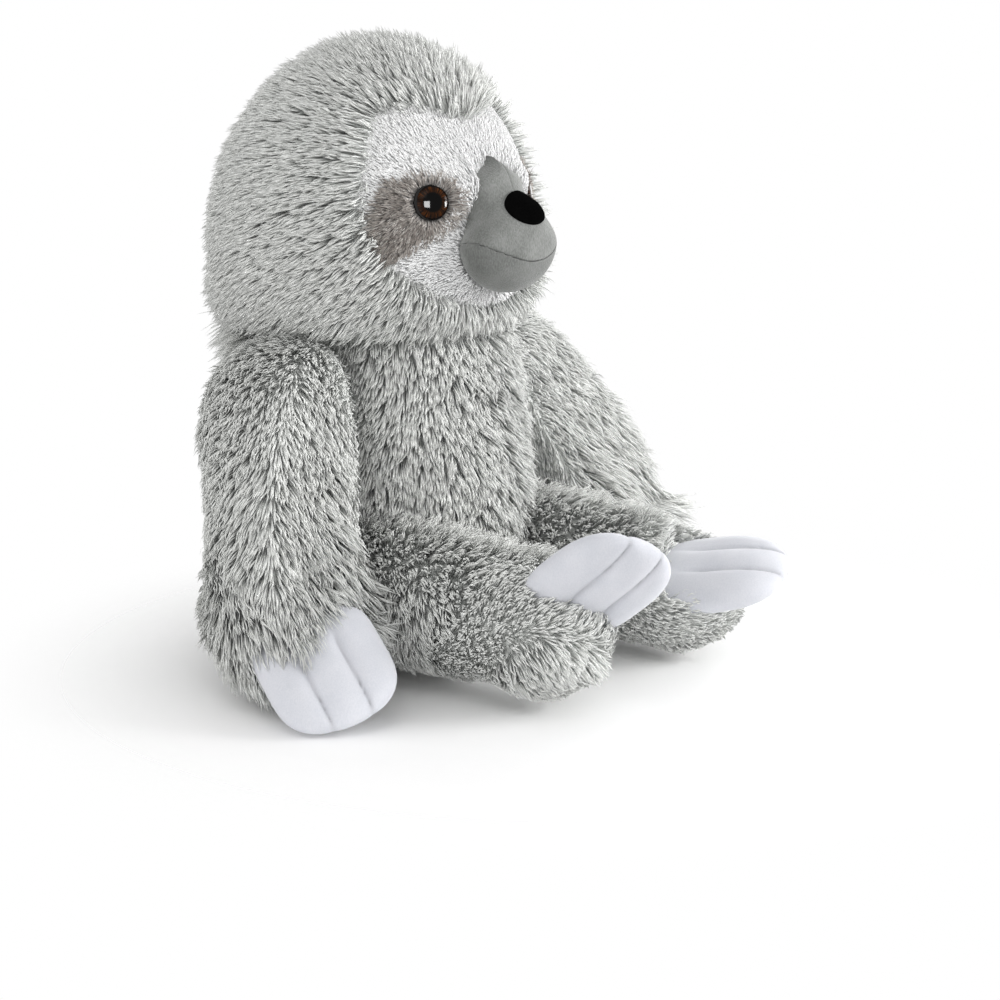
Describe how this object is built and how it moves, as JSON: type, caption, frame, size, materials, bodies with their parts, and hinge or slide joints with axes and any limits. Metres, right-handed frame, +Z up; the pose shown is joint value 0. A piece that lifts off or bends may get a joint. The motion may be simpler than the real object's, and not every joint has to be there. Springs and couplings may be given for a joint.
{
  "type": "seated plush sloth",
  "caption": "Seated plush sloth with a furry round head, pale face with patched eyes, grey muzzle and nose pad, turning head, hinged limbs and white channelled hand and foot mitts.",
  "frame": {"origin": "on the flat seat under the torso, in the middle plane", "axes": "+Z up, -Y the way the sloth faces, +X its own left side"},
  "size_m": [0.3708, 0.3195, 0.329],
  "materials": {
    "coat_fur": "long soft pile, light grey tips over darker grey roots",
    "face_cloth": "short white pile with a brown-grey patch round each eye",
    "muzzle_cloth": "short napped velboa",
    "mitt_cloth": "smooth white velboa with sewn channels",
    "nose_cloth": "black velvet",
    "eye": "glossy amber-brown dome with a black pupil",
    "eye_shank": "moulded",
    "eye_washer": "moulded",
    "stuffing": "polyester fibre"
  },
  "bodies": {
    "torso": {"torso_skin": "coat_fur", "torso_stuffing": "stuffing"},
    "head": {"head_skin": "coat_fur", "head_stuffing": "stuffing", "face_panel_right": "face_cloth", "face_panel_left": "face_cloth", "snout_upper": "muzzle_cloth", "snout_chin": "muzzle_cloth", "snout_stuffing": "stuffing", "nose_pad": "nose_cloth", "eye_right_dome": "eye", "eye_right_shank": "eye_shank", "eye_right_washer": "eye_washer", "eye_left_dome": "eye", "eye_left_shank": "eye_shank", "eye_left_washer": "eye_washer"},
    "arm_right": {"arm_right_skin": "coat_fur", "arm_right_stuffing": "stuffing"},
    "hand_right": {"hand_right_mitt": "mitt_cloth", "hand_right_stuffing": "stuffing"},
    "leg_right": {"leg_right_skin": "coat_fur", "leg_right_stuffing": "stuffing"},
    "foot_right": {"foot_right_mitt": "mitt_cloth", "foot_right_stuffing": "stuffing"},
    "arm_left": {"arm_left_skin": "coat_fur", "arm_left_stuffing": "stuffing"},
    "hand_left": {"hand_left_mitt": "mitt_cloth", "hand_left_stuffing": "stuffing"},
    "leg_left": {"leg_left_skin": "coat_fur", "leg_left_stuffing": "stuffing"},
    "foot_left": {"foot_left_mitt": "mitt_cloth", "foot_left_stuffing": "stuffing"}
  },
  "joints": [
    {"name": "head_turn", "type": "hinge", "parent": "torso", "child": "head", "pos_m": [0, 0, 0.1782], "axis": [0, 0, 1], "range_deg": [-25, 25]},
    {"name": "shoulder_right", "type": "hinge", "parent": "torso", "child": "arm_right", "pos_m": [-0.052, -0.005, 0.146], "axis": [-1, 0, 0], "range_deg": [-25, 70]},
    {"name": "hip_right", "type": "hinge", "parent": "torso", "child": "leg_right", "pos_m": [-0.054, -0.03, 0.041], "axis": [-0.9995, 0.032, 0], "range_deg": [-90, 10]},
    {"name": "wrist_right", "type": "hinge", "parent": "arm_right", "child": "hand_right", "pos_m": [-0.145, -0.073, 0.039], "axis": [-0.7895, 0.521, -0.3244], "range_deg": [-20, 20]},
    {"name": "ankle_right", "type": "hinge", "parent": "leg_right", "child": "foot_right", "pos_m": [-0.055, -0.167, 0.05418], "axis": [-0.809, 0.3778, 0.4503], "range_deg": [-20, 20]},
    {"name": "shoulder_left", "type": "hinge", "parent": "torso", "child": "arm_left", "pos_m": [0.052, -0.005, 0.146], "axis": [-1, 0, 0], "range_deg": [-25, 70]},
    {"name": "hip_left", "type": "hinge", "parent": "torso", "child": "leg_left", "pos_m": [0.054, -0.03, 0.041], "axis": [-0.9995, -0.032, 0], "range_deg": [-90, 10]},
    {"name": "wrist_left", "type": "hinge", "parent": "arm_left", "child": "hand_left", "pos_m": [0.145, -0.073, 0.039], "axis": [-0.7895, -0.521, 0.3244], "range_deg": [-20, 20]},
    {"name": "ankle_left", "type": "hinge", "parent": "leg_left", "child": "foot_left", "pos_m": [0.055, -0.157, 0.04318], "axis": [-0.8424, -0.4234, -0.3333], "range_deg": [-20, 20]}
  ]
}
